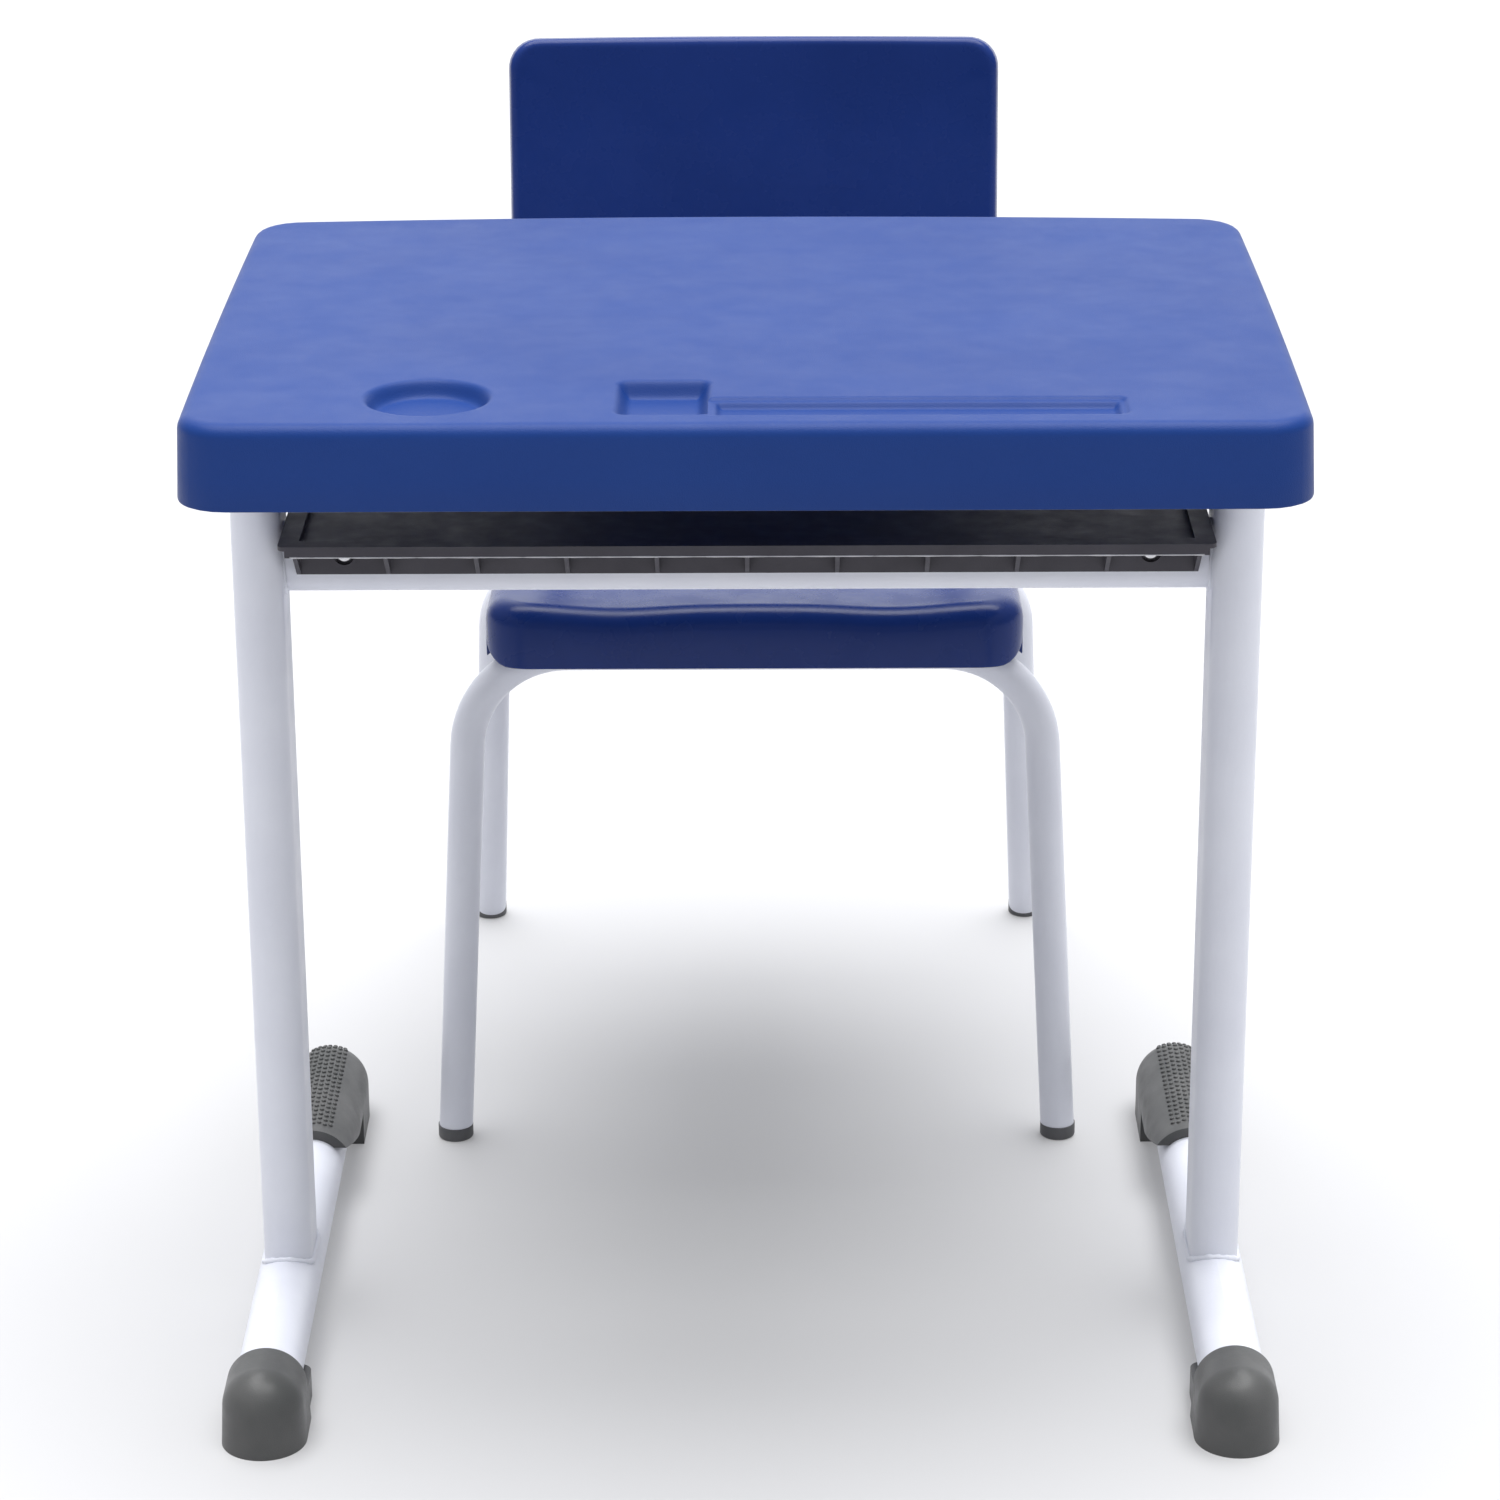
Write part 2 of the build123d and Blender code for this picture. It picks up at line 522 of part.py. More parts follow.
def leg_cap(foot, corner, side):
    """Plastic glide on a leg's end: a cup around the tube with a flat sole."""
    x, y = side * foot[0] + CHAIR_X, behind(foot[1])
    cap = Pos(x, y, 0) * Cylinder(CAP_R, CAP_TALL, align=(Align.CENTER, Align.CENTER, Align.MIN))
    cap = fillet(cap.faces().sort_by(Axis.Z)[0].edges(), 1.5)
    return cap - rod_along(leg_points(foot, corner), CHAIR_BEND, CHAIR_TUBE_D)


# ---- chair seat ---------------------------------------------------------
def seat_plane():
    """Origin at the front edge's middle on the flat seat surface, X across, Y to the back, Z off the seat."""
    tilt = radians(SEAT_SLOPE)
    origin = (CHAIR_X, behind(SEAT_FRONT), SEAT_HEIGHT)
    return Plane(origin=origin, x_dir=(1, 0, 0), z_dir=(0, sin(tilt), cos(tilt)))


def seat_block(inset, top, bottom):
    """The seat's plan, inset all round, between two depths under the seat surface."""
    plan = RectangleRounded(SEAT_WIDTH - 2 * inset, SEAT_DEPTH - 2 * inset, 30 - inset)
    return extrude(Pos(0, SEAT_DEPTH / 2, -bottom) * plan, bottom - top)


def chair_seat():
    """Shell seat: flat plate, rolled edges, shallow side skirts and a deeper waterfall lip in front."""
    body = seat_block(0, 0, SEAT_LIP)
    front_view = Pos(0, 40 - SEAT_LIP) * RectangleRounded(SEAT_WIDTH, 80, 16)
    body &= extrude(Plane.XZ * front_view, 500, both=True)
    under = Polyline((-1, -70), (-1, -SEAT_LIP), (30, -SEAT_LIP), (110, -SEAT_SKIRT), (400, -SEAT_SKIRT),
                     (400, -70), close=True)
    body -= extrude(Plane.YZ * make_face(under), 300, both=True)
    body = fillet(body.faces().sort_by(Axis.Z)[-1].edges(), 11.0)
    body -= seat_block(SEAT_WALL, SEAT_WALL, SEAT_LIP + 10)
    body = seat_plane() * body
    for side in (-1, 1):
        body -= tube_notch(side * RAIL_HALF + CHAIR_X)
    return body - group_holes(seat_rivet_places())


def tube_notch(x):
    """Slot in the seat's rear edge where an upright rises through it."""
    half = CHAIR_TUBE_D / 2 + 1.5
    reach = SEAT_FRONT + SEAT_DEPTH - NOTCH_DEEP + half
    plan = Pos(x, behind(reach)) * Circle(half)
    plan += Pos(x, behind(reach + 20)) * Rectangle(2 * half, 40)
    return extrude(Pos(0, 0, SEAT_HEIGHT - 80) * plan, 100)


def group_holes(places):
    return Part() + [place * Cylinder(RIVET_R + 0.05, 40) for place in places]


def seat_rivet_places():
    """Rivet axes, +Z off the seat, with their origins on the seat surface."""
    return [seat_plane() * Pos(side * RAIL_HALF, y, 0) for side in (-1, 1) for y in (72.0, 250.0)]


def seat_rivets():
    grip = SEAT_WALL + CHAIR_TUBE_WALL + BULB_SAG
    made = [place * Pos(0, 0, 0.05) * Rot(180, 0, 0) * pop_rivet(grip + 0.1) for place in seat_rivet_places()]
    return group(made)


# ---- chair backrest -----------------------------------------------------
BACK_WALL = 3.5
BACK_RIM = 13.0            # how far the rolled rim reaches back
BACK_CORNER_R = 20.0
SPOT_FACE = 0.8            # flat seat for each rivet head in the curved face
BACK_R = (BACK_WIDTH / 2) ** 2 / (2 * BACK_HOLLOW) + BACK_HOLLOW / 2


def rise_at(x):
    """How far the front face at x lies in front of its middle."""
    return BACK_R - (BACK_R ** 2 - x ** 2) ** 0.5


def back_plane():
    """Origin at the top edge's middle on the front face, X across, Y to the rear, Z up the backrest."""
    lean = radians(BACK_RECLINE)
    origin = (CHAIR_X, behind(BACK_TOP_Y), BACK_TOP_Z)
    return Plane(origin=origin, x_dir=(1, 0, 0), z_dir=(0, sin(lean), cos(lean)))


def curved_slab(near, far, inset, corner):
    """The cylinder wall from near to far behind the front face, cut to the backrest's outline."""
    axis = Pos(0, -BACK_R, -BACK_TALL / 2)
    drum = axis * (Cylinder(BACK_R + far, BACK_TALL + 20) - Cylinder(BACK_R + near, BACK_TALL + 20))
    outline = RectangleRounded(BACK_WIDTH - 2 * inset, BACK_TALL - 2 * inset, corner)
    prism = Pos(0, 60, -BACK_TALL / 2) * extrude(Plane.XZ * outline, 120)
    return drum & prism


def chair_backrest():
    """Curved shell with a rolled rim, notched for the two uprights."""
    body = curved_slab(0, BACK_RIM, 0, BACK_CORNER_R)
    front = [f for f in body.faces() if f.geom_type == GeomType.CYLINDER]
    front = sorted(front, key=lambda f: f.area)[-2:]
    front = min(front, key=lambda f: f.center().Y)
    body = fillet(front.edges(), 5.0)
    body -= curved_slab(BACK_WALL, BACK_RIM + 5, BACK_WALL, BACK_CORNER_R - BACK_WALL)
    body = back_plane() * body
    for side in (-1, 1):
        x = side * RAIL_HALF + CHAIR_X
        body -= rod_along(side_rail_points(x), UPRIGHT_BEND, CHAIR_TUBE_D + 1.0)
    spot = Cylinder(5.4, 4, align=(Align.CENTER, Align.CENTER, Align.MIN))
    body -= Part() + [place * Pos(0, 0, -SPOT_FACE) * spot for place in back_rivet_places()]
    body -= group_holes(back_rivet_places())
    return body.solids().sort_by(SortBy.VOLUME)[-1]


def back_rivet_places():
    """Rivet axes square to the uprights, +Z towards the sitter, origins on the front face."""
    lean = radians(BACK_RECLINE)
    made = []
    for side in (-1, 1):
        for down in (128.0, 160.0):
            local = Pos(side * RAIL_HALF, -rise_at(RAIL_HALF), -down)
            made.append(back_plane() * local * Rot(90, 0, 0))
    return made


def back_rivets():
    grip = BACK_WALL + 1.0 + CHAIR_TUBE_WALL + BULB_SAG - SPOT_FACE
    made = [place * Pos(0, 0, 0.05 - SPOT_FACE) * Rot(180, 0, 0) * pop_rivet(grip + 0.1)
            for place in back_rivet_places()]
    return group(made)


# ---- everything ---------------------------------------------------------
def main():
    save("desk_top", desk_top())
    save("top_screws", top_screws())
    save("threaded_inserts", threaded_inserts())
    save("top_rail", top_rail())
    save("crossbar", crossbar())
    save("book_tray", book_tray())
    save("tray_rivets", tray_rivets())
    save("hanger_rivets", hanger_rivets())
    save("foot_cover_rivets", cover_rivets())
    for name, side in (("left", -1), ("right", 1)):
        save(f"{name}_rail_cap", rail_cap(side * RAIL_X))
        save(f"{name}_post", post(side * POST_X))
        save(f"{name}_foot_tube", foot_tube(side * POST_X))
        save(f"{name}_front_foot_cover", front_cover(side * POST_X))
        save(f"{name}_rear_foot_cover", rear_cover(side * POST_X))
        save(f"{name}_tray_hanger", hanger(side))
        save(f"{name}_chair_rail", side_rail(side))
        save(f"{name}_front_leg_cap", leg_cap(FRONT_FOOT, FRONT_CORNER, side))
        save(f"{name}_rear_leg_cap", leg_cap(REAR_FOOT, REAR_CORNER, side))
    save("front_leg_frame", leg_frame(FRONT_FOOT, FRONT_CORNER))
    save("rear_leg_frame", leg_frame(REAR_FOOT, REAR_CORNER))
    save("chair_tube_plugs", tube_plugs())
    save("chair_seat", chair_seat())
    save("seat_rivets", seat_rivets())
    save("chair_backrest", chair_backrest())
    save("backrest_rivets", back_rivets())


main()
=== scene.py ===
import json
import math
import bmesh
import bpy
from mathutils import Matrix, Vector


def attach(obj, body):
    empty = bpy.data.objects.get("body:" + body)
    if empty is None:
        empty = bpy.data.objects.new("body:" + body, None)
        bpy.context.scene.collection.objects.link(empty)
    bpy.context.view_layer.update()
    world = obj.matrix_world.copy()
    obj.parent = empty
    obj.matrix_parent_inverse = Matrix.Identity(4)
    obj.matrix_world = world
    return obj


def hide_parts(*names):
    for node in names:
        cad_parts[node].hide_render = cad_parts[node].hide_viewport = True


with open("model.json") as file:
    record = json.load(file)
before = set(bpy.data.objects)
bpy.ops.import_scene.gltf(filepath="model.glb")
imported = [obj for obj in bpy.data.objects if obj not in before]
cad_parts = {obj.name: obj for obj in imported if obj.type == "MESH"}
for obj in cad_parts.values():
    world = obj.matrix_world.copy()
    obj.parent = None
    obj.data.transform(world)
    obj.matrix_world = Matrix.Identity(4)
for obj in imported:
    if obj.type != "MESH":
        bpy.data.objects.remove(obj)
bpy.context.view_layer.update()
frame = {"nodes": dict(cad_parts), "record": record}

NODES = frame["nodes"]
MM = 0.001
FRONT = -413.25            # Y of the desk's front edge, mm


# ---- camera, floor and light --------------------------------------------
CAMERA_AT = (0.01270, -2.30009 + FRONT * MM, 1.30988)       # metres
CAMERA_TURN = (0.36240, -0.0047, -0.0050)                   # pitch, yaw and roll, radians
CAMERA_LENS, CAMERA_SENSOR = 109.218, 36.0
FLOOR_HALF = 9.0                                            # metres
FLOOR_COLOUR, FLOOR_GLOW = (0.40, 0.40, 0.41, 1), 0.2
WALL_COLOUR, WALL_LEVEL = (0.95, 0.97, 1.0, 1), 0.32
WALL_RAMPS = (("Z", 0.2, 0.6, 0.3), ("Y", 0.5, 0.95, 0.95))     # axis, from, to, light added
WHITE = (1, 1, 1, 1)


def camera():
    """Stands 2.3 m before the desk and 1.3 m up, and looks down at it."""
    pitch, yaw, roll = CAMERA_TURN
    forward = Vector((math.sin(yaw) * math.cos(pitch), math.cos(yaw) * math.cos(pitch), -math.sin(pitch)))
    level_right = Vector((math.cos(yaw), -math.sin(yaw), 0))
    level_up = level_right.cross(forward)
    right = math.cos(roll) * level_right + math.sin(roll) * level_up
    up = -math.sin(roll) * level_right + math.cos(roll) * level_up
    data = bpy.data.cameras.new("camera")
    data.sensor_width = CAMERA_SENSOR
    data.lens = CAMERA_LENS
    data.clip_end = 30.0
    cam = bpy.data.objects.new("camera", data)
    bpy.context.collection.objects.link(cam)
    spin = Matrix((right, up, -forward)).transposed().to_4x4()
    cam.matrix_world = Matrix.Translation(CAMERA_AT) @ spin
    bpy.context.scene.camera = cam


def pale_floor():
    """A matt floor that glows faintly, so that the shadow on it stays pale."""
    mesh = bpy.data.meshes.new("floor")
    s = FLOOR_HALF
    mesh.from_pydata([(-s, -s, 0), (s, -s, 0), (s, s, 0), (-s, s, 0)], [], [(0, 1, 2, 3)])
    floor = bpy.data.objects.new("floor", mesh)
    bpy.context.collection.objects.link(floor)
    mat = bpy.data.materials.new("floor")
    mat.use_nodes = True
    sockets = mat.node_tree.nodes["Principled BSDF"].inputs
    sockets["Base Color"].default_value = FLOOR_COLOUR
    sockets["Emission Color"].default_value = WHITE
    sockets["Emission Strength"].default_value = FLOOR_GLOW
    sockets["Roughness"].default_value = 0.9
    sockets["Specular IOR Level"].default_value = 0.1
    mesh.materials.append(mat)


def overhead_light():
    """One very soft light from above."""
    sun = bpy.data.lights.new("overhead", "SUN")
    sun.energy = 5.3
    sun.angle = math.radians(62)
    lamp = bpy.data.objects.new("overhead", sun)
    bpy.context.collection.objects.link(lamp)
    lamp.rotation_euler = (math.radians(-4), math.radians(2), 0)


def walls():
    """Light from pale walls all round, dimmer low down on the front side, and a white backdrop to look at."""
    world = bpy.data.worlds.new("studio")
    bpy.context.scene.world = world
    world.use_nodes = True
    nodes, link = world.node_tree.nodes, world.node_tree.links.new
    light = nodes["Background"]
    light.inputs["Color"].default_value = WALL_COLOUR
    parts = nodes.new("ShaderNodeSeparateXYZ")
    link(nodes.new("ShaderNodeTexCoord").outputs["Generated"], parts.inputs[0])
    level = None
    for axis, low, high, more in WALL_RAMPS:
        ramp = nodes.new("ShaderNodeMapRange")
        ramp.interpolation_type = "SMOOTHSTEP"
        ramp.inputs["From Min"].default_value = low
        ramp.inputs["From Max"].default_value = high
        ramp.inputs["To Max"].default_value = more
        link(parts.outputs[axis], ramp.inputs["Value"])
        total = nodes.new("ShaderNodeMath")
        total.operation = "ADD"
        total.inputs[1].default_value = WALL_LEVEL
        link(ramp.outputs["Result"], total.inputs[0])
        if level:
            link(level, total.inputs[1])
        level = total.outputs[0]
    link(level, light.inputs["Strength"])
    backdrop = nodes.new("ShaderNodeBackground")
    backdrop.inputs["Color"].default_value = WHITE
    mix = nodes.new("ShaderNodeMixShader")
    link(nodes.new("ShaderNodeLightPath").outputs["Is Camera Ray"], mix.inputs[0])
    link(light.outputs[0], mix.inputs[1])
    link(backdrop.outputs[0], mix.inputs[2])
    link(mix.outputs[0], nodes["World Output"].inputs["Surface"])


def studio():
    pale_floor()
    walls()
    overhead_light()
    bpy.context.scene.view_settings.view_transform = "Standard"


# ---- materials ----------------------------------------------------------
def srgb(r, g, b):
    """An sRGB colour, 0 to 255, as linear light."""
    out = []
    for v in (r, g, b):
        v /= 255
        out.append(v / 12.92 if v <= 0.04045 else ((v + 0.055) / 1.055) ** 2.4)
    return (*out, 1.0)


class Shade:
    """A short hand for building one procedural material."""

    def __init__(self, name, colour, rough, spec=0.5, metal=0.0):
        self.mat = bpy.data.materials.new(name)
        self.mat.use_nodes = True
        self.tree = self.mat.node_tree
        self.bsdf = self.tree.nodes["Principled BSDF"]
        self.set("Base Color", colour)
        self.set("Roughness", rough)
        self.set("Specular IOR Level", spec)
        self.set("Metallic", metal)
        self.coords = self.node("ShaderNodeTexCoord").outputs["Object"]
        self.height = None

    def set(self, socket, value):
        self.bsdf.inputs[socket].default_value = value

    def node(self, kind, **values):
        made = self.tree.nodes.new(kind)
        for key, value in values.items():
            setattr(made, key, value)
        return made

    def link(self, a, b):
        self.tree.links.new(a, b)

    def noise(self, scale, detail=3.0):
        made = self.node("ShaderNodeTexNoise")
        made.inputs["Scale"].default_value = scale
        made.inputs["Detail"].default_value = detail
        made.inputs["Roughness"].default_value = 0.55
        self.link(self.coords, made.inputs["Vector"])
        return made.outputs["Fac"]

    def remap(self, value, low, high, out_low, out_high):
        made = self.node("ShaderNodeMapRange")
        made.inputs["From Min"].default_value = low
        made.inputs["From Max"].default_value = high
        made.inputs["To Min"].default_value = out_low
        made.inputs["To Max"].default_value = out_high
        self.link(value, made.inputs["Value"])
        return made.outputs["Result"]

    def math(self, how, a, b):
        made = self.node("ShaderNodeMath", operation=how)
        for socket, value in zip(made.inputs, (a, b)):
            if isinstance(value, float):
                socket.default_value = value
            else:
                self.link(value, socket)
        return made.outputs[0]

    def blend(self, value, low, high):
        """The base colour runs from one tone to another with a 0..1 value."""
        made = self.node("ShaderNodeMix", data_type="RGBA")
        self.link(value, made.inputs["Factor"])
        for socket, tone in ((made.inputs[6], low), (made.inputs[7], high)):
            if isinstance(tone, tuple):
                socket.default_value = tone
            else:
                self.link(tone, socket)
        self.link(made.outputs[2], self.bsdf.inputs["Base Color"])

    def clouds(self, scale, detail, low, high, edge=0.35):
        """Two close tones in soft patches."""
        self.blend(self.remap(self.noise(scale, detail), edge, 1 - edge, 0, 1), low, high)

    def rough(self, scale, detail, low, high):
        """Roughness that wanders between two values."""
        self.link(self.remap(self.noise(scale, detail), 0.3, 0.7, low, high), self.bsdf.inputs["Roughness"])

    def bump(self, scale, distance, strength=1.0):
        """A relief of soft noise, on top of any relief before it."""
        made = self.node("ShaderNodeBump")
        made.inputs["Distance"].default_value = distance
        made.inputs["Strength"].default_value = strength
        self.link(self.noise(scale, 2.0), made.inputs["Height"])
        if self.height:
            self.link(self.height, made.inputs["Normal"])
        self.height = made.outputs["Normal"]
        self.link(self.height, self.bsdf.inputs["Normal"])


def top_plastic():
    """Blue polypropylene with a fine satin grain and slow flow marks."""
    s = Shade("top_plastic", srgb(25, 55, 121), 0.42, spec=0.15)
    s.clouds(6.0, 4.0, srgb(24, 55, 120), srgb(26, 58, 124))
    s.rough(30.0, 3.0, 0.38, 0.46)
    s.bump(1500.0, 0.00016)
    s.bump(14.0, 0.0008, 0.6)
    return s.mat


def seat_plastic():
    """The same blue, moulded glossy."""
    s = Shade("seat_plastic", srgb(22, 47, 114), 0.26, spec=0.2)
    s.clouds(9.0, 4.0, srgb(21, 46, 110), srgb(24, 49, 115))
    s.rough(45.0, 3.0, 0.22, 0.32)
    s.bump(10.0, 0.0009, 0.6)
    s.bump(900.0, 0.00002)
    return s.mat


def grey_shade(name, dark, light, low=0.42, high=0.58):
    s = Shade(name, dark, 0.5, spec=0.3)
    s.clouds(22.0, 5.0, dark, light)
    s.rough(80.0, 4.0, low, high)
    s.bump(1400.0, 0.00012)
    return s


def tray_plastic():
    """Black-grey plastic, with painted light on the pocket's inner faces: they are painted a pale grey that
    lifts the shade inside the pocket.
    """
    s = grey_shade("tray_plastic", srgb(64, 62, 69), srgb(72, 70, 77))
    parts = s.node("ShaderNodeSeparateXYZ")
    s.link(s.coords, parts.inputs[0])
    inside = None
    for axis, how, limit in (("Y", "GREATER_THAN", 216 + FRONT), ("Y", "LESS_THAN", 409.7 + FRONT),
                             ("X", "GREATER_THAN", -254.7), ("X", "LESS_THAN", 254.7),
                             ("Z", "GREATER_THAN", 481.2)):
        test = s.math(how, parts.outputs[axis], limit * MM)
        inside = s.math("MULTIPLY", inside, test) if inside else test
    plain = s.bsdf.inputs["Base Color"].links[0].from_socket
    # painted light: the pocket's inner faces take a pale grey base colour in place of their shade
    s.blend(inside, plain, srgb(138, 129, 128))
    return s.mat


def powder_coat():
    """Light grey powder coat with a trace of orange peel."""
    s = Shade("painted_steel", srgb(222, 224, 233), 0.34, spec=0.35)
    s.clouds(18.0, 4.0, srgb(219, 221, 231), srgb(225, 227, 236), edge=0.3)
    s.rough(70.0, 3.0, 0.28, 0.42)
    s.bump(420.0, 0.00012, 0.6)
    return s.mat


def metal(name, colour, low, high):
    s = Shade(name, colour, low, metal=1.0)
    s.rough(600.0, 3.0, low, high)
    s.bump(1500.0, 0.00004)
    return s.mat


def materials():
    cover = grey_shade("cover_plastic", srgb(76, 77, 77), srgb(87, 87, 87), low=0.32, high=0.46)
    return {
        "top_plastic": top_plastic(),
        "seat_plastic": seat_plastic(),
        "tray_plastic": tray_plastic(),
        "cover_plastic": cover.mat,
        "cap_plastic": grey_shade("cap_plastic", srgb(84, 85, 87), srgb(94, 94, 96)).mat,
        # painted highlight: the pale grey of the bead along the tray lip's lower edge
        "pale_highlight_plastic": grey_shade("pale_highlight_plastic", srgb(186, 186, 190), srgb(206, 206, 210)).mat,
        "painted_steel": powder_coat(),
        "rivet_metal": metal("rivet_metal", srgb(205, 205, 208), 0.25, 0.4),
        "screw_steel": metal("screw_steel", srgb(190, 190, 188), 0.25, 0.45),
    }


def dress(mats):
    """Gives every CAD node the material of its slot."""
    for sub in frame["record"]["subparts"]:
        node = NODES[sub["node"]]
        mat = mats[sub["material_slot"]]
        if not node.material_slots:
            node.data.materials.append(mat)
        for place in node.material_slots:
            place.material = mat


def soften(name, width):
    """Takes the knife edge off a moulded part, so that it catches a line of light."""
    mod = NODES[name].modifiers.new("soft_edges", "BEVEL")
    mod.width = width * MM
    mod.segments = 2
    mod.limit_method = "ANGLE"
    mod.angle_limit = math.radians(40)


# ---- mesh helpers, all in mm, with y counted from the desk's front edge --
def new_object(name, verts, faces):
    """An object in metres, from points in mm."""
    mesh = bpy.data.meshes.new(name)
    mesh.from_pydata([(x * MM, (y + FRONT) * MM, z * MM) for x, y, z in verts], [], faces)
    made = bpy.data.objects.new(name, mesh)
    bpy.context.collection.objects.link(made)
    return made


def piece(name, verts, faces, mat, body):
    """A smooth mesh object that rides on a body."""
    made = new_object(name, verts, faces)
    mesh = made.data
    mesh.materials.append(mat)
    mesh.polygons.foreach_set("use_smooth", [True] * len(mesh.polygons))
    mesh.update()
    bm = bmesh.new()
    bm.from_mesh(mesh)
    bmesh.ops.recalc_face_normals(bm, faces=bm.faces)
    bm.to_mesh(mesh)
    bm.free()
    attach(made, body)
    return made


def even(count):
    """Shares of a side's length for count evenly spaced points."""
    return [k / count for k in range(count)]


def shares_of(line):
    """How far along a list of values each one but the last lies, 0 to 1."""
    return [(v - line[0]) / (line[-1] - line[0]) for v in line[:-1]]


def rounded_rect(half_x, y0, y1, radius, shares):
    """Closed outline from corner middle to corner middle, with points at these shares of its four sides.

    The sides are the front, right, back and left, counter-clockwise seen from above.
    """
    r = max(radius, 0.3)
    corners = [(half_x - r, y0 + r), (half_x - r, y1 - r), (-half_x + r, y1 - r), (-half_x + r, y0 + r)]
    outline = []
    for side in range(4):
        middle = math.radians(-90 + 90 * side)
        line = []
        for corner, first in ((corners[side - 1], middle - math.pi / 4), (corners[side], middle)):
            for k in range(9):
                turn = first + math.pi / 4 * k / 8
                line.append((corner[0] + r * math.cos(turn), corner[1] + r * math.sin(turn)))
        outline += resample(line, shares[side])
    return outline


def resample(line, shares):
    """Points at these shares of a polyline's length."""
    lengths = [0.0]
    for a, b in zip(line, line[1:]):
        lengths.append(lengths[-1] + math.dist(a, b))
    out, k = [], 0
    for share in shares:
        want = share * lengths[-1]
        while k < len(line) - 2 and lengths[k + 1] < want:
            k += 1
        span = lengths[k + 1] - lengths[k] or 1.0
        t = (want - lengths[k]) / span
        out.append(tuple(a + (b - a) * t for a, b in zip(line[k], line[k + 1])))
    return out


def loops_to_faces(count, rings, wrap_rings=False):
    """Quads between consecutive closed rings of count vertices each."""
    faces = []
    for k in range(rings if wrap_rings else rings - 1):
        low, high = k * count, ((k + 1) % rings) * count
        for j in range(count):
            n = (j + 1) % count
            faces.append((low + j, low + n, high + n, high + j))
    return faces


def circle(count):
    """Cosine and sine of count turns round a circle."""
    turns = [2 * math.pi * k / count for k in range(count)]
    return [(math.cos(t), math.sin(t)) for t in turns]


def soft_step(t, k):
    """0 to 1 with rounded knees of size k."""
    t = 1 - smooth_max(1 - t, 0, k)
    return smooth_max(t, 0, k)


def smooth_max(a, b, k):
    h = max(k - abs(a - b), 0) / k
    return max(a, b) + h * h * k / 4


def bell(distance, width):
    return math.exp(-(distance / width) ** 2)


# ---- desk top -----------------------------------------------------------
TOP_Z, BASE_Z, PLATE_Z = 620.0, 573.0, 615.5
TOP_HALF, TOP_DEEP = 304.05, 447.05         # at the foot of the skirt
TOP_CORNER, EDGE_R = 28, 7
DRAFT = math.tan(math.radians(2.5))
PLATE_WALL = 2.8
CUP = (-171.0, 56.5, 33.6, 9.0, 4.6)        # centre x, y, radius, depth, run of the wall
# centre x, y, half width, half depth, corner radius, depth, run of the wall
ERASER = (-44.2, 55.0, 25.2, 31.7, 7.0, 9.0, 6.0)
GROOVE = (91.4, 37.5, 113.3, 16.7, 5.0, 1.6, 1.5)
GROOVE_BED = (92.4, 37.5, 108.3, 12.2, 3.5, 3.4, 2.6)
SINKS = [(sx * 276, y) for sx in (-1, 1) for y in (96, 247, 360)] + [(-254, 69.5)]
GATE = (1.0, 230.0)
RIB_LOW, RIB_HIGH, BOSS_LOW = 606.5, 616.5, 605.6
BOSS_X, BOSS_YS, BOSS_R, BOSS_SIDES = 280, (97, 247, 360), 8, 24


def box_distance(x, y, cx, cy, half_x, half_y, r):
    """Distance to a rounded rectangle's outline, negative inside it."""
    dx, dy = abs(x - cx) - half_x + r, abs(y - cy) - half_y + r
    return math.hypot(max(dx, 0), max(dy, 0)) + min(max(dx, dy), 0) - r


def top_relief(x, y):
    """Height of the writing surface over its plane: recesses, sink marks, gate ripple and flow waves."""
    cx, cy, r, deep, wall = CUP
    h = -deep * soft_step((r - math.hypot(x - cx, y - cy)) / wall, 0.45)
    *box, deep, wall = ERASER
    h = min(h, -deep * soft_step(-box_distance(x, y, *box) / wall, 0.3))
    groove = 0.0
    for *box, deep, wall in (GROOVE, GROOVE_BED):
        groove -= deep * soft_step(-box_distance(x, y, *box) / wall, 0.45)
    h = min(h, groove)
    for sx, sy in SINKS:
        d = math.hypot(x - sx, (y - sy) * 0.8)
        if d < 30:
            h -= 0.55 * bell(d, 8.0)
    d = math.hypot(x - GATE[0], y - GATE[1])
    if d < 120:
        h += 0.30 * math.cos(d * 2 * math.pi / 31) * bell(d, 34)
    h += 0.10 * math.sin(x / 61 + 1.3) * math.sin(y / 47 + 0.4)
    return h + 0.05 * math.sin(x / 23.7) * math.sin(y / 31 + 2)


def top_warp(x, y):
    """Bows the sitter's edge and, barely, the sides."""
    bow = 12.0 * (1 - (x / 304) ** 2) * (max(y, 0) / 447) ** 3
    side = 1.5 * (1 - ((y - 223) / 224) ** 2) * (x / 304) ** 3
    return x + side, y + bow


def spread(marks):
    """A sorted list of values: (start, end, step) runs laid end to end."""
    out = []
    for start, end, step in marks:
        n = max(1, round((end - start) / step))
        out += [start + (end - start) * k / n for k in range(n)]
    return out + [marks[-1][1]]


def grid_quads(nx, ny):
    return [(i * nx + j, i * nx + j + 1, (i + 1) * nx + j + 1, (i + 1) * nx + j)
            for i in range(ny - 1) for j in range(nx - 1)]


def grid_border(nx, ny):
    """A grid's border vertices, in the order of rounded_rect's points."""
    front = list(range(nx))
    right = [i * nx + nx - 1 for i in range(1, ny)]
    back = [(ny - 1) * nx + j for j in range(nx - 2, -1, -1)]
    left = [i * nx for i in range(ny - 2, 0, -1)]
    return front + right + back + left


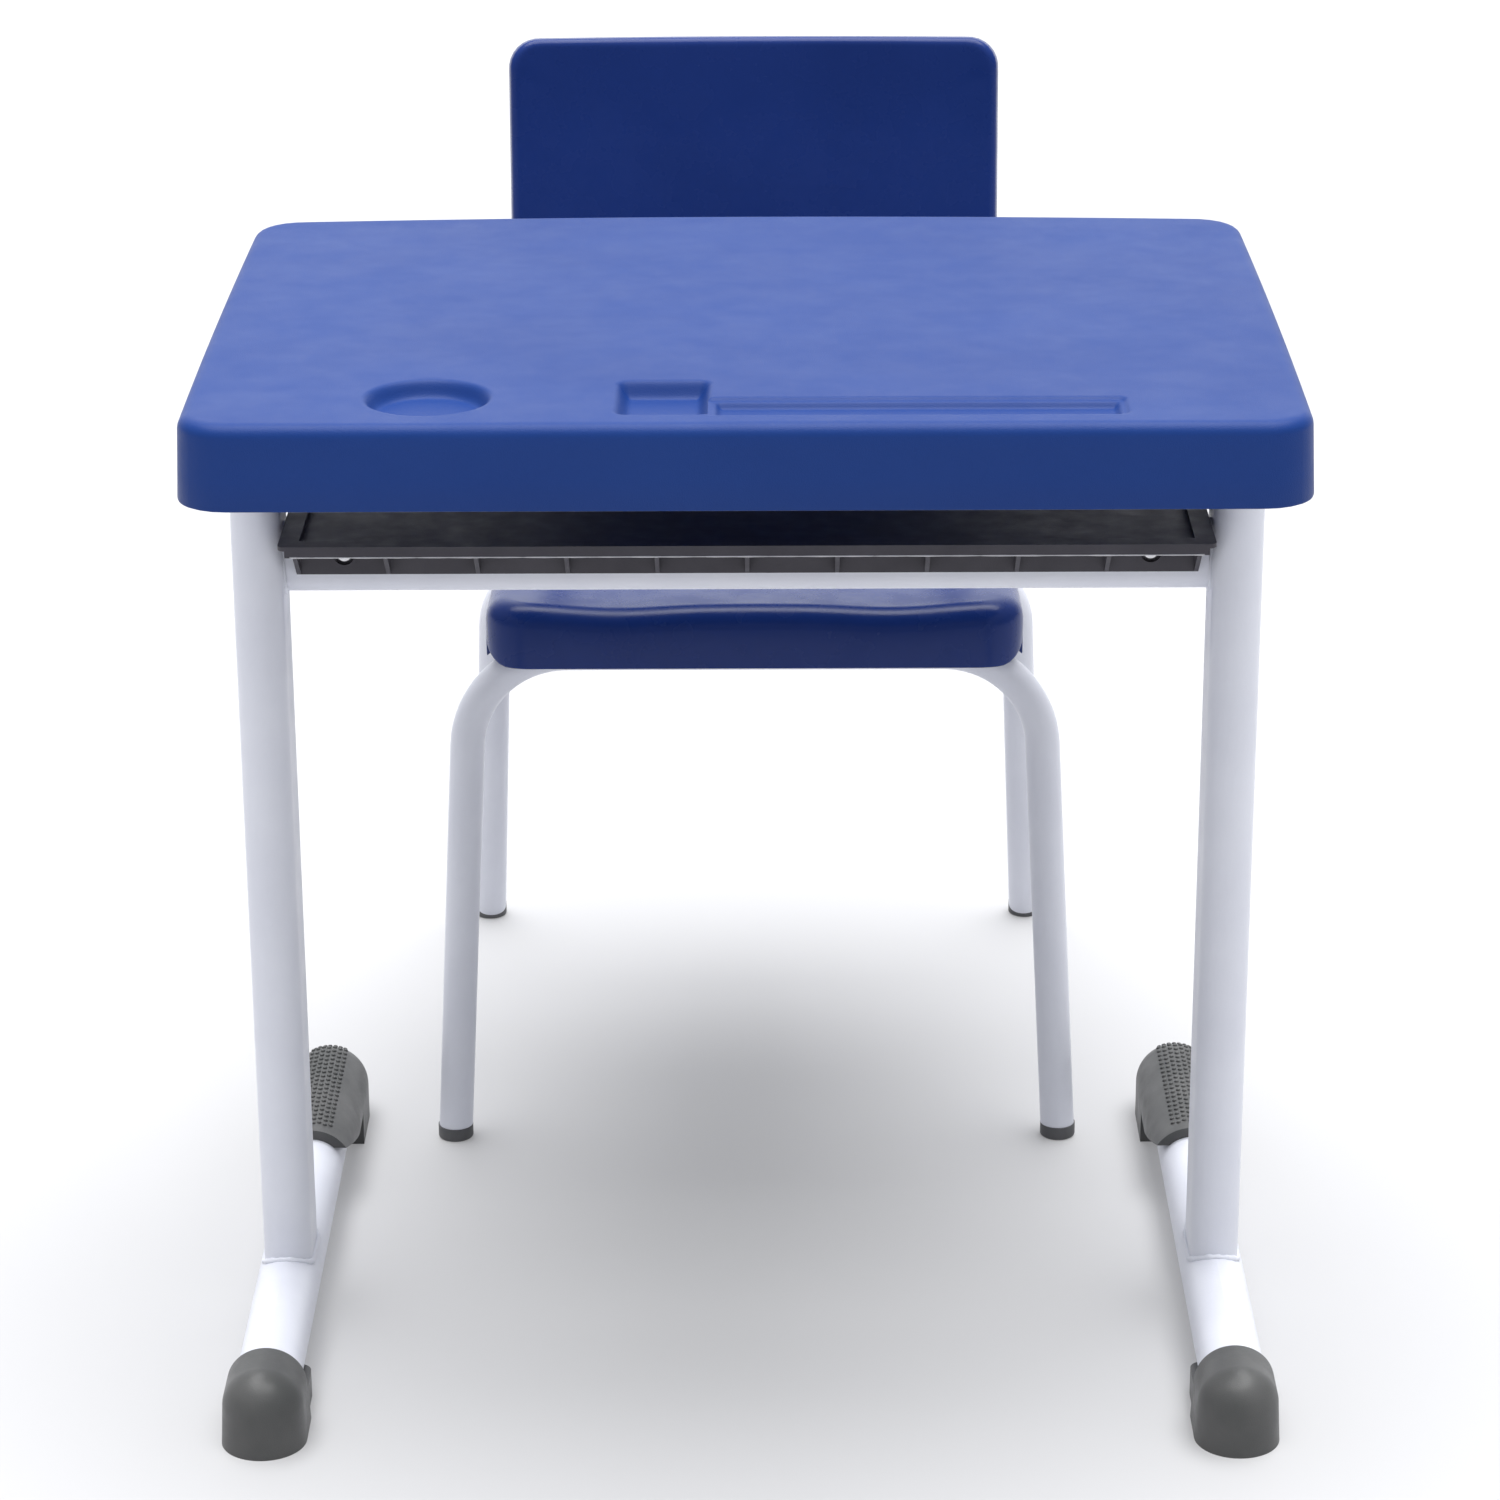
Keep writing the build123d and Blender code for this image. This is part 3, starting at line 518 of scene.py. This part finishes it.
def top_levels():
    """Inset and height of each ring: out over the rounded edge, down the skirt and back up inside."""
    levels = [(12.0, TOP_Z), (9.0, TOP_Z)]
    for k in range(7):
        phi = math.radians(90 * k / 6)
        levels.append((EDGE_R - EDGE_R * math.sin(phi), TOP_Z - EDGE_R + EDGE_R * math.cos(phi)))
    levels += [(0, 606), (0, 590), (0, 574.4), (0.35, 573.35), (1.2, 573), (2.5, 573), (3.3, 573.6), (3.5, 575)]
    return levels + [(3.5, 590), (3.5, 606), (3.7, 613), (5.5, PLATE_Z)]


def top_skin(verts, faces):
    """The writing surface, the skirt and the plate's underside, as one closed skin."""
    xs = spread([(-262, -212, 6), (-212, -130, 1.3), (-130, -76, 5), (-76, 12, 1.1), (12, 194, 3),
                 (194, 212, 1.1), (212, 262, 6)])
    ys = spread([(14, 92, 1.1), (92, 410, 5)])
    quads, border = grid_quads(len(xs), len(ys)), grid_border(len(xs), len(ys))
    verts += [(*top_warp(x, y), TOP_Z + top_relief(x, y)) for y in ys for x in xs]
    faces += quads
    shares = [shares_of(line) for line in (xs, ys, xs[::-1], ys[::-1])]
    rings = [border]
    for inset, z in top_levels():
        draft = (z - BASE_Z) * DRAFT
        trim = inset + draft
        rings.append([len(verts) + k for k in range(len(border))])
        for x, y in rounded_rect(TOP_HALF - trim, trim, TOP_DEEP - trim, TOP_CORNER - trim, shares):
            h = top_relief(x, y) if z == TOP_Z else 0
            verts.append((*top_warp(x, y), z + h))
    base = len(verts)
    verts += [(*top_warp(x, y), min(PLATE_Z, TOP_Z + top_relief(x, y) - PLATE_WALL)) for y in ys for x in xs]
    faces += [(base + a, base + d, base + c, base + b) for a, b, c, d in quads]
    rings.append([base + k for k in border])
    for low, high in zip(rings, rings[1:]):
        for k in range(len(border)):
            n = (k + 1) % len(border)
            faces.append((low[k], high[k], high[n], low[n]))


def solid_runs(place, start, end):
    """The stretches of a rib that lie under the flat of the top, clear of the recesses."""
    runs, open_at = [], None
    for v in range(start, end + 1, 2):
        x, y = place(v)
        flat = all(top_relief(x + dx, y + dy) > -1.5 for dx in (-1, 1) for dy in (-1, 1))
        if flat and open_at is None:
            open_at = v
        if not flat and open_at is not None:
            runs.append((open_at, v - 2))
            open_at = None
    return runs + ([(open_at, end)] if open_at is not None else [])


def add_rib(verts, faces, x0, x1, y0, y1):
    o = len(verts)
    verts += [(x, y, z) for z in (RIB_LOW, RIB_HIGH) for y in (y0, y1) for x in (x0, x1)]
    sides = ((0, 2, 3, 1), (4, 5, 7, 6), (0, 1, 5, 4), (1, 3, 7, 5), (3, 2, 6, 7), (2, 0, 4, 6))
    faces += [tuple(o + k for k in side) for side in sides]


def top_ribs(verts, faces):
    """Crossing ribs 50 mm apart under the plate, and the six screw bosses over the rail."""
    for x in range(-250, 251, 50):
        for y0, y1 in solid_runs(lambda y: (x, y), 6, 450):
            add_rib(verts, faces, x - 1, x + 1, y0, y1)
    for y in range(25, 450, 50):
        for x0, x1 in solid_runs(lambda x: (x, y), -297, 297):
            add_rib(verts, faces, x0, x1, y - 1, y + 1)
    n = BOSS_SIDES
    for cx in (-BOSS_X, BOSS_X):
        for cy in BOSS_YS:
            o = len(verts)
            verts += [(cx + BOSS_R * c, cy + BOSS_R * s, z) for z in (BOSS_LOW, RIB_HIGH) for c, s in circle(n)]
            faces += [(o + k, o + (k + 1) % n, o + n + (k + 1) % n, o + n + k) for k in range(n)]
            faces += [tuple(range(o + n - 1, o - 1, -1)), tuple(range(o + n, o + 2 * n))]


def desk_top(mat):
    verts, faces = [], []
    top_skin(verts, faces)
    top_ribs(verts, faces)
    made = piece("desk_top_shell", verts, faces, mat, "desk")
    keep_sharp(made, 38)
    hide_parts("desk_top")


def keep_sharp(made, degrees):
    """Edges sharper than this stay sharp under smooth shading."""
    bm = bmesh.new()
    bm.from_mesh(made.data)
    limit = math.radians(degrees)
    for e in bm.edges:
        if len(e.link_faces) == 2:
            e.smooth = e.calc_face_angle(0) < limit
    bm.to_mesh(made.data)
    bm.free()


# ---- chair seat ---------------------------------------------------------
CHAIR_X = 3.0
SEAT_HALF, SEAT_DEEP, SEAT_CORNER = 172.0, 314.0, 30.0
SEAT_FRONT, SEAT_TOP, SEAT_TILT = 425.0, 374.0, math.radians(5.0)
SEAT_LIP, SEAT_SIDE = 41.0, 24.0            # depth of the skirt in front, and at the sides and back
LIP_CORNER = 16                             # rounding of the lip's lower corners
SEAT_ROLL, SEAT_HEM, SEAT_WALL = 14.0, 0.6, 3.9
SEAT_POINTS = (64, 56, 64, 56)              # along the front, right, back and left
SEAT_RINGS = [("hem", 1.0), ("hem", 0.25), ("skirt", 0.0), ("skirt", 0.5)]
SEAT_RINGS += [("roll", v) for v in (90, 72, 54, 36, 18, 0)]
SEAT_RINGS += [("flat", v) for v in (17, 21, 27, 35, 45, 57, 71, 86, 102, 118, 133, 147)]
SLOT_X, SLOT_HALF, SLOT_DEEP, SLOT_SIDES = 130, 12.6, 36.0, 24
SLOT_LOW, SLOT_HIGH, SLOT_PAST = 290, 400, 60       # how far the cutter reaches down, up and past the edge


def seat_place(x, y, z):
    """From the seat's own plane, y back from the front edge, to the desk's millimetres."""
    c, s = math.cos(SEAT_TILT), math.sin(SEAT_TILT)
    return x + CHAIR_X, SEAT_FRONT + y * c + z * s, SEAT_TOP - y * s + z * c


def seat_relief(x, y):
    """Two thigh hollows that run out towards the back, and a shallow bowl behind them."""
    dip = bell(abs(x) - 88, 46.0) + 0.45 * bell(x, 52.0)
    bowl = 2.2 * math.exp(-(x / 120.0) ** 4 - ((y - 180) / 95.0) ** 4)
    return -4.4 * dip * bell(max(y, 0), 120.0) - bowl


def seat_skirt(x, y):
    """How deep the skirt reaches under the seat surface."""
    t = min(max((y - 22) / 88.0, 0), 1)
    deep = SEAT_LIP - (SEAT_LIP - SEAT_SIDE) * t * t * (3 - 2 * t)
    if y >= SEAT_CORNER:
        return deep
    past = max(abs(x) - (SEAT_HALF - LIP_CORNER), 0)
    return deep - LIP_CORNER + math.sqrt(max(LIP_CORNER ** 2 - past ** 2, 0))


def seat_inset(kind, value):
    """How far a ring lies inside the seat's outline."""
    if kind == "hem":
        return SEAT_HEM * value
    if kind == "skirt":
        return 0
    if kind == "roll":
        return SEAT_ROLL * (1 - math.sin(math.radians(value)))
    return value


def seat_drop(kind, value, skirt):
    """How far a ring lies under the seat surface."""
    if kind == "hem":
        return skirt - SEAT_HEM * (1 - value)
    if kind == "skirt":
        return (skirt + SEAT_ROLL) / 2 if value else skirt - 1.5
    if kind == "roll":
        return SEAT_ROLL * (1 - math.cos(math.radians(value)))
    return 0


def chair_seat(mat):
    """From the skirt's hem up over the rolled edge and in across the seat, then given its wall."""
    verts = []
    shares = [even(n) for n in SEAT_POINTS]
    for kind, value in SEAT_RINGS:
        inset = seat_inset(kind, value)
        for x, y in rounded_rect(SEAT_HALF - inset, inset, SEAT_DEEP - inset, SEAT_CORNER - inset, shares):
            skirt = seat_skirt(x, y)
            drop = seat_drop(kind, value, skirt)
            share = 1 if kind in ("flat", "roll") else max(0, 1 - drop / max(skirt, 1))
            verts.append(seat_place(x, y, -drop + seat_relief(x, y) * share))
    faces = skin_faces(sum(SEAT_POINTS), len(SEAT_RINGS))
    made = piece("seat_shell", verts, faces, mat, "chair")
    thicken(made, SEAT_WALL)
    for side in (-1, 1):
        cut_slot(made, side * SLOT_X + CHAIR_X)
    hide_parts("chair_seat")


def skin_faces(count, rings):
    """Faces of a dish of rings, with the last ring closed by one face."""
    last = (rings - 1) * count
    return loops_to_faces(count, rings) + [tuple(range(last, last + count))]


def apply_modifier(made, modifier):
    """Bakes one modifier into the mesh."""
    bpy.context.view_layer.update()
    graph = bpy.context.evaluated_depsgraph_get()
    mesh = bpy.data.meshes.new_from_object(made.evaluated_get(graph))
    made.modifiers.remove(modifier)
    made.data = mesh


def thicken(made, wall):
    """Gives an open skin its wall, inwards."""
    mod = made.modifiers.new("wall", "SOLIDIFY")
    mod.thickness = wall * MM
    mod.offset = -1
    mod.use_even_offset = False
    apply_modifier(made, mod)


def cut_slot(made, x):
    """A round-ended slot in the seat's rear edge, for one upright."""
    y = SEAT_FRONT + SEAT_DEEP - SLOT_DEEP + SLOT_HALF
    turns = [math.pi + math.pi * k / SLOT_SIDES for k in range(SLOT_SIDES + 1)]
    line = [(x + SLOT_HALF * math.cos(t), y + SLOT_HALF * math.sin(t)) for t in turns]
    line += [(x + SLOT_HALF, y + SLOT_PAST), (x - SLOT_HALF, y + SLOT_PAST)]
    m = len(line)
    verts = [(px, py, z) for z in (SLOT_LOW, SLOT_HIGH) for px, py in line]
    faces = [(k, (k + 1) % m, m + (k + 1) % m, m + k) for k in range(m)]
    faces += [tuple(range(m - 1, -1, -1)), tuple(range(m, 2 * m))]
    cutter = new_object("slot", verts, faces)
    mod = made.modifiers.new("cut", "BOOLEAN")
    mod.object = cutter
    mod.operation = "DIFFERENCE"
    mod.solver = "EXACT"
    apply_modifier(made, mod)
    bpy.data.objects.remove(cutter)


# ---- backrest -----------------------------------------------------------
BACK_HALF, BACK_TALL, BACK_CORNER = 166.5, 186.0, 20.0
BACK_TOP_Y, BACK_TOP_Z, BACK_LEAN = 788.0, 661.0, math.radians(7.0)
BACK_HOLLOW = 14.0
BACK_R = BACK_HALF ** 2 / (2 * BACK_HOLLOW) + BACK_HOLLOW / 2
BACK_RIM, BACK_ROLL, BACK_WALL = 13.0, 5.0, 3.4
BACK_POINTS = (72, 40, 72, 40)
DIMPLES, DIMPLE_UP = (-154, 154), 158       # two shallow marks near the top corners


def back_place(x, up, behind):
    """From the backrest's face, up from its bottom edge and behind the face, to the desk's millimetres."""
    angle = x / BACK_R
    curved_x = (BACK_R + behind) * math.sin(angle)
    curved_y = (BACK_R + behind) * math.cos(angle) - BACK_R
    down = BACK_TALL - up
    c, s = math.cos(BACK_LEAN), math.sin(BACK_LEAN)
    return curved_x + CHAIR_X, BACK_TOP_Y + curved_y * c - down * s, BACK_TOP_Z - curved_y * s - down * c


def back_relief(x, up):
    """The face's dimples and its slow waves."""
    dimples = sum(0.5 * math.exp(-math.hypot(x - dx, up - DIMPLE_UP) ** 2 / 40) for dx in DIMPLES)
    return dimples + 0.12 * math.sin(x / 37) * math.sin(up / 29 + 1)


def backrest(mat):
    """From the rim behind, round the rolled edge and in across the face, then given its wall."""
    levels = [(0.4, BACK_RIM), (0, BACK_RIM - 0.8), (0, 9), (0, BACK_ROLL)]
    for degrees in (18, 36, 54, 72, 90):
        turn = math.radians(degrees)
        levels.append((BACK_ROLL * (1 - math.cos(turn)), BACK_ROLL * (1 - math.sin(turn))))
    levels += [(v, 0) for v in (7, 10, 14, 20, 28, 38, 50, 62, 74, 84)]
    shares = [even(n) for n in BACK_POINTS]
    verts = []
    for inset, behind in levels:
        for x, up in rounded_rect(BACK_HALF - inset, inset, BACK_TALL - inset, BACK_CORNER - inset, shares):
            relief = back_relief(x, up) if behind == 0 else 0
            verts.append(back_place(x, up, behind + relief))
    faces = skin_faces(sum(BACK_POINTS), len(levels))
    made = piece("backrest_shell", verts, faces, mat, "chair")
    thicken(made, BACK_WALL)
    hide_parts("chair_backrest")


# ---- small detail -------------------------------------------------------
POST_X, POST_Y = 282, 201
FOOT_Z, FOOT_R = 23.5, 19.05
BAR_END_X, BAR_Z = 267.3, 482
LIP_Y, LIP_Z, LIP_HALF = 138.3, 502.2, 258
COVER_R, COVER_NOSE_Y = 25.5, 464.5         # the rear covers' round top, and where it turns into the nose
DOT_FIRST_Y, DOT_PITCH, DOT_STAGGER = 351, 6.5, 1.6
DOT_RINGS, DOT_TIP = ((1.6, -0.3), (1.45, 0.5), (1.0, 1.0)), 1.15      # radius and height of each ring


def bead(name, path, radius, mat, closed=True, seed=0.0):
    """A weld bead along a path on the desk, swelling and shrinking as laid metal does."""
    verts, n, m = [], len(path), 8
    points = [Vector(p) for p in path]
    for k, p in enumerate(points):
        before = points[k - 1] if closed or k else points[0]
        after = points[(k + 1) % n] if closed or k < n - 1 else points[-1]
        along = (after - before).normalized()
        side = along.cross(Vector((0, 0, 1)))
        side = side.normalized() if side.length > 0.01 else Vector((0, 1, 0))
        up = side.cross(along)
        swell = radius * (1 + 0.18 * math.sin(k * 1.9 + seed) + 0.12 * math.sin(k * 0.73 + 2 * seed))
        verts += [p + swell * (c * side + s * up) for c, s in circle(m)]
    faces = loops_to_faces(m, n, wrap_rings=closed)
    if not closed:
        faces += [tuple(range(m)), tuple(range((n - 1) * m, n * m))]
    piece(name, verts, faces, mat, "desk")


def oblong(wide, deep):
    """Outline of an oblong section."""
    r = wide / 2
    return [(r * c, r * s + (deep / 2 - r if r * s >= 0 else r - deep / 2)) for c, s in circle(56)]


def welds(mat):
    """Beads where the posts stand on the foot tubes, and where the crossbar meets the posts."""
    for name, side, seed in (("left", -1, 0.4), ("right", 1, 1.7)):
        ring = [(side * POST_X + x, POST_Y + y, FOOT_Z + math.sqrt(max(FOOT_R ** 2 - x * x, 0)) + 0.2)
                for x, y in oblong(29.6, 58.6)]
        bead(f"{name}_post_weld", ring, 1.9, mat, seed=seed)
        ring = [(side * BAR_END_X, POST_Y + y, BAR_Z + z) for y, z in oblong(20.4, 40.4)]
        bead(f"{name}_bar_weld", ring, 1.5, mat, seed=seed + 1)


def lip_edge(mat):
    """The parting line along the lower edge of the tray's lip, coloured pale grey as a painted highlight on
    that edge.
    """
    path = [(x, LIP_Y, LIP_Z) for x in range(-LIP_HALF, LIP_HALF + 1, 6)]
    bead("tray_lip_edge", path, 0.5, mat, closed=False, seed=0.9)


def add_dot(verts, faces, x, y, turn):
    """One round pip on a rear cover, leaning sideways by turn and forward where the nose curves down."""
    out = Vector((math.sin(turn), 0, math.cos(turn)))
    past = y - COVER_NOSE_Y
    if past > 0:
        reach = math.sqrt(max(COVER_R ** 2 - past ** 2, 0))
        out = Vector((math.sin(turn) * reach, past, math.cos(turn) * reach)).normalized()
    centre = Vector((x, min(y, COVER_NOSE_Y), FOOT_Z)) + out * COVER_R
    a = out.cross(Vector((0, 1, 0))).normalized()
    b = out.cross(a)
    o = len(verts)
    for size, lift in DOT_RINGS:
        verts += [centre + out * lift + size * (c * a + s * b) for c, s in circle(8)]
    verts.append(centre + out * DOT_TIP)
    faces += [tuple(o + k for k in quad) for quad in loops_to_faces(8, 3)]
    faces += [(o + 16 + j, o + 16 + (j + 1) % 8, o + 24) for j in range(8)]
    faces.append(tuple(range(o + 7, o - 1, -1)))


def grip_dots(mat):
    """Seven rows of small pips along the top of each rear foot cover."""
    for name, side in (("left", -1), ("right", 1)):
        verts, faces = [], []
        for row in range(-3, 4):
            for k in range(20):
                y = DOT_FIRST_Y + DOT_PITCH * k + (DOT_STAGGER if row % 2 else 0)
                add_dot(verts, faces, side * POST_X, y, math.radians(8.5 * row))
        piece(f"{name}_grip_dots", verts, faces, mat, "desk")


def main():
    camera()
    studio()
    mats = materials()
    dress(mats)
    soften("book_tray", 0.7)
    for side in ("left", "right"):
        soften(f"{side}_front_foot_cover", 0.8)
        soften(f"{side}_rear_foot_cover", 0.8)
    desk_top(mats["top_plastic"])
    chair_seat(mats["seat_plastic"])
    backrest(mats["seat_plastic"])
    welds(mats["painted_steel"])
    lip_edge(mats["pale_highlight_plastic"])
    grip_dots(mats["cover_plastic"])


main()
